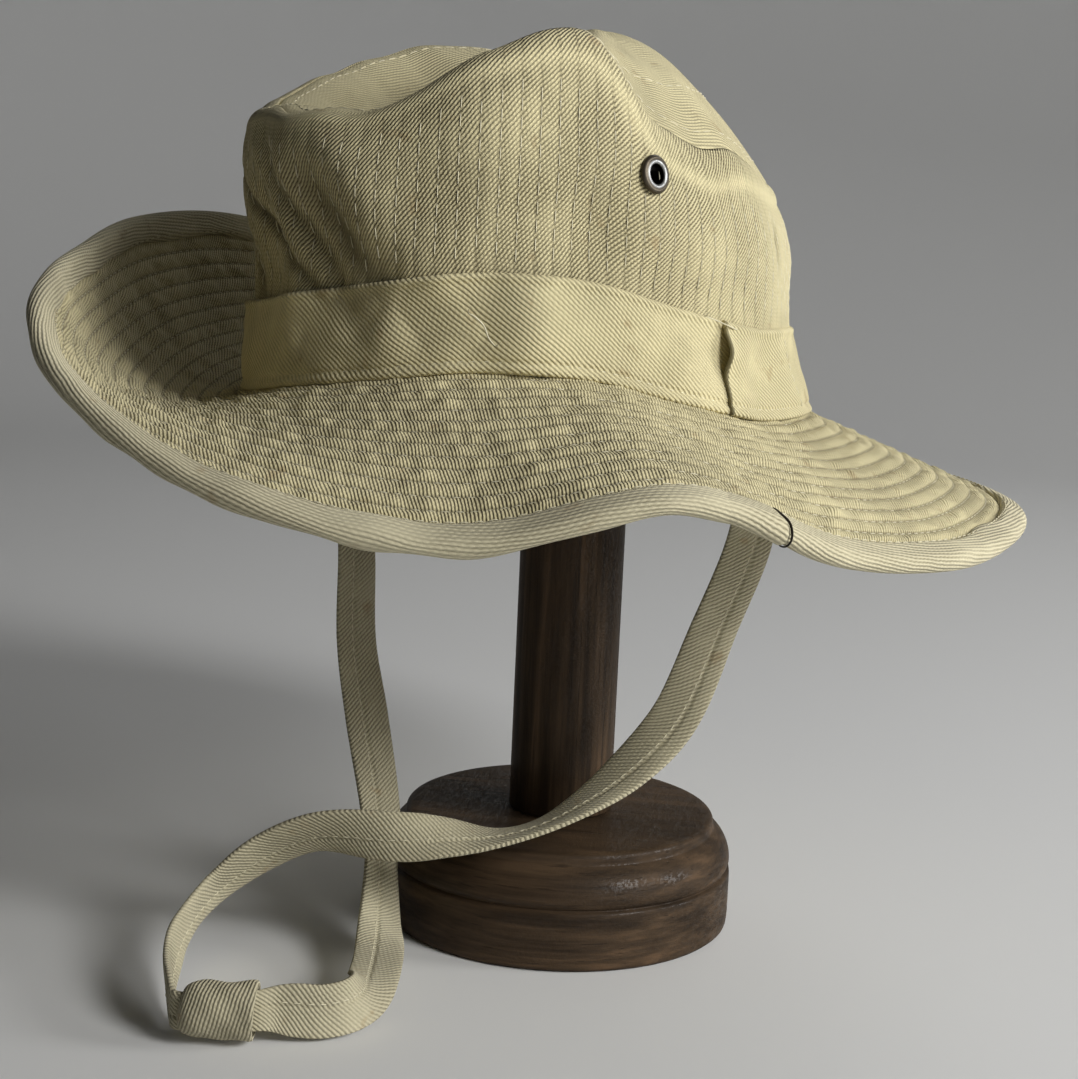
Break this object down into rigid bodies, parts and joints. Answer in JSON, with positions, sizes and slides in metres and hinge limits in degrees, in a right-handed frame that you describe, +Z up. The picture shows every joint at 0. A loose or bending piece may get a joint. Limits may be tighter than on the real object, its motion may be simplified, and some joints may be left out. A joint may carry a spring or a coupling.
{
  "type": "bush hat on stand",
  "caption": "Khaki cotton bush hat with a dented crown, stitched brim turned up at one side and a knotted chin strap, on a turned wooden hat stand.",
  "frame": {"origin": "middle of the stand's underside, on the surface that it stands on", "axes": "+Z up along the post, -Y towards the front of the hat, +X towards the wearer's left"},
  "size_m": [0.291, 0.3435, 0.2876],
  "materials": {
    "wood": "dark walnut stain with a satin varnish",
    "drill": "washed khaki cotton drill twill, matt",
    "binding": "khaki cotton tape, matt",
    "eyelet_metal": "darkened brass with a worn bright inner ring",
    "strap": "sewn khaki cotton tape, matt"
  },
  "bodies": {
    "root": {"stand_base": "wood", "stand_post": "wood", "brim": "drill", "brim_binding": "binding", "crown_side": "drill", "crown_tip": "drill", "hat_band": "drill", "eyelet": "eyelet_metal", "strap_left": "strap", "strap_right": "strap", "strap_knot": "strap"}
  },
  "joints": []
}
